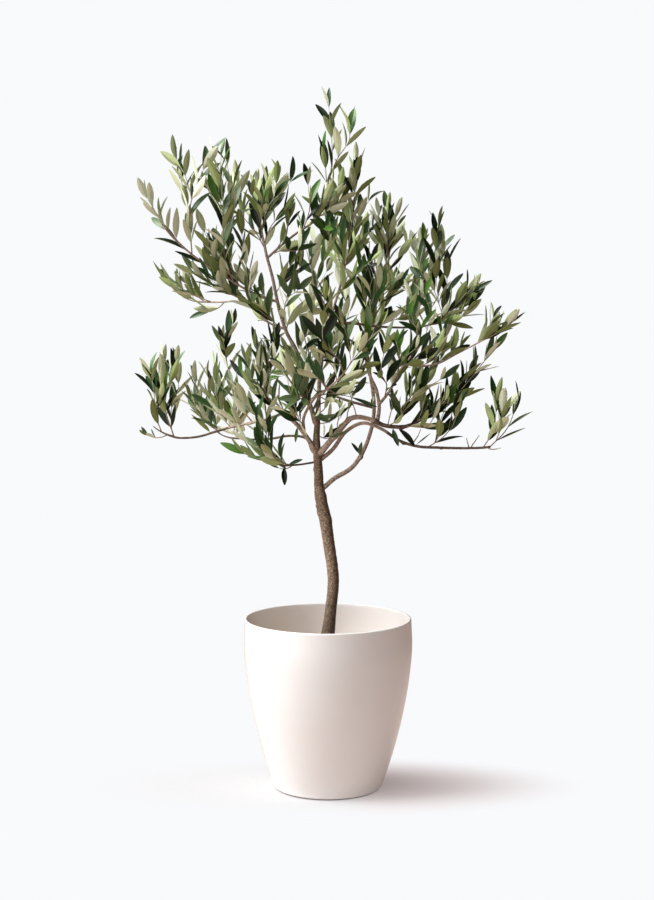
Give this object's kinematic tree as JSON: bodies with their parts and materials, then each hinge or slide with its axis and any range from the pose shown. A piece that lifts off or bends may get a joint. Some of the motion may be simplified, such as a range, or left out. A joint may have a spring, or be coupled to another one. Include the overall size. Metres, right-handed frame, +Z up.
{
  "type": "potted olive tree",
  "caption": "Young standard olive tree with a slim leaning trunk and an open crown of narrow grey-green leaves, growing in a tall tapered round planter with a glossy finish.",
  "frame": {"origin": "centre of the planter's flat underside", "axes": "+Z up, +X to the right and +Y away from a viewer who stands in front of the tree"},
  "size_m": [0.6885, 0.5266, 1.2058],
  "materials": {
    "planter": "glossy ivory moulded plastic, warm taupe in its own shade",
    "compost": "dark brown granular potting compost, matt",
    "bark": "fine-grained grey-brown bark with small knots",
    "foliage": "narrow leathery leaves, dark green above and pale grey-green below"
  },
  "bodies": {
    "root": {"pot": "planter", "soil": "compost", "trunk": "bark", "arch_bough": "bark", "cross_bough": "bark", "crown_bough": "bark", "elbow_bough": "bark", "fork_left_bough": "bark", "front_bough": "bark", "leader_bough": "bark", "left_strand_bough": "bark", "long_left_bough": "bark", "low_left_bough": "bark", "low_right_bough": "bark", "peak_bough": "bark", "rear_cross_bough": "bark", "rear_left_bough": "bark", "right_inner_bough": "bark", "right_riser_bough": "bark", "twin_riser": "bark", "upper_left_bough": "bark", "upper_right_bough": "bark", "upright_bough": "bark", "centre_mid": "foliage", "centre_top": "foliage", "far_left_high": "foliage", "far_left_tip": "foliage", "front_high": "foliage", "front_left": "foliage", "front_low": "foliage", "front_mid": "foliage", "front_right": "foliage", "left_inner": "foliage", "left_mid": "foliage", "left_shoot": "foliage", "left_strand_tip": "foliage", "low_left_hang": "foliage", "lower_left_mid": "foliage", "lower_left_tip": "foliage", "peak_left": "foliage", "peak_right": "foliage", "rear_high": "foliage", "rear_left_low": "foliage", "rear_low": "foliage", "rear_mid": "foliage", "rear_right": "foliage", "right_centre": "foliage", "right_centre_top": "foliage", "right_far_spray": "foliage", "right_front": "foliage", "right_high_spray": "foliage", "right_inner": "foliage", "right_low": "foliage", "right_shoulder": "foliage", "right_tip_spray": "foliage", "right_upper": "foliage", "top_spire": "foliage", "upper_left_high": "foliage", "upper_left_inner": "foliage", "upper_left_mid": "foliage"}
  },
  "joints": []
}
